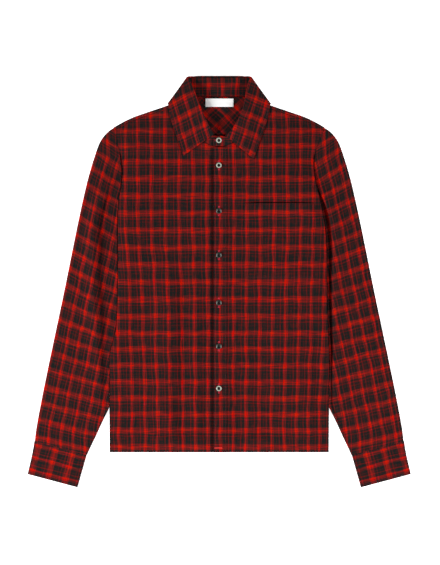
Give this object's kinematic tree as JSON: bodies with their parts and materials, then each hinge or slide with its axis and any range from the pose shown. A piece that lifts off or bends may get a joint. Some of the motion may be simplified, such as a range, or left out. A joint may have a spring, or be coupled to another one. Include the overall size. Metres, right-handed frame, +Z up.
{
  "type": "flannel shirt",
  "caption": "Long-sleeved flannel shirt with a point collar, button placket, chest pocket and cuffs, buttoned up and laid flat on its back with the sleeves at its sides.",
  "frame": {"origin": "on the surface the shirt lies on, under the middle of its overall box", "axes": "+Y towards the collar, +Z up off the surface, +X to the wearer's left, which is the right of someone looking down on the shirt"},
  "size_m": [0.766, 0.8224, 0.0128],
  "materials": {
    "flannel": "brushed cotton flannel woven in a red and charcoal check",
    "label": "plain white woven label, blank",
    "button": "smoke grey pearly resin, dished, four eyes"
  },
  "bodies": {
    "root": {"back": "flannel", "back_yoke": "flannel", "inner_yoke": "flannel", "front_left": "flannel", "front_right": "flannel", "front_placket": "flannel", "chest_pocket": "flannel", "collar_fall": "flannel", "collar_stand": "flannel", "sleeve_left": "flannel", "sleeve_right": "flannel", "cuff_left": "flannel", "cuff_right": "flannel", "neck_label": "label", "button_1": "button", "button_2": "button", "button_3": "button", "button_4": "button", "button_5": "button", "button_6": "button", "button_7": "button"}
  },
  "joints": []
}
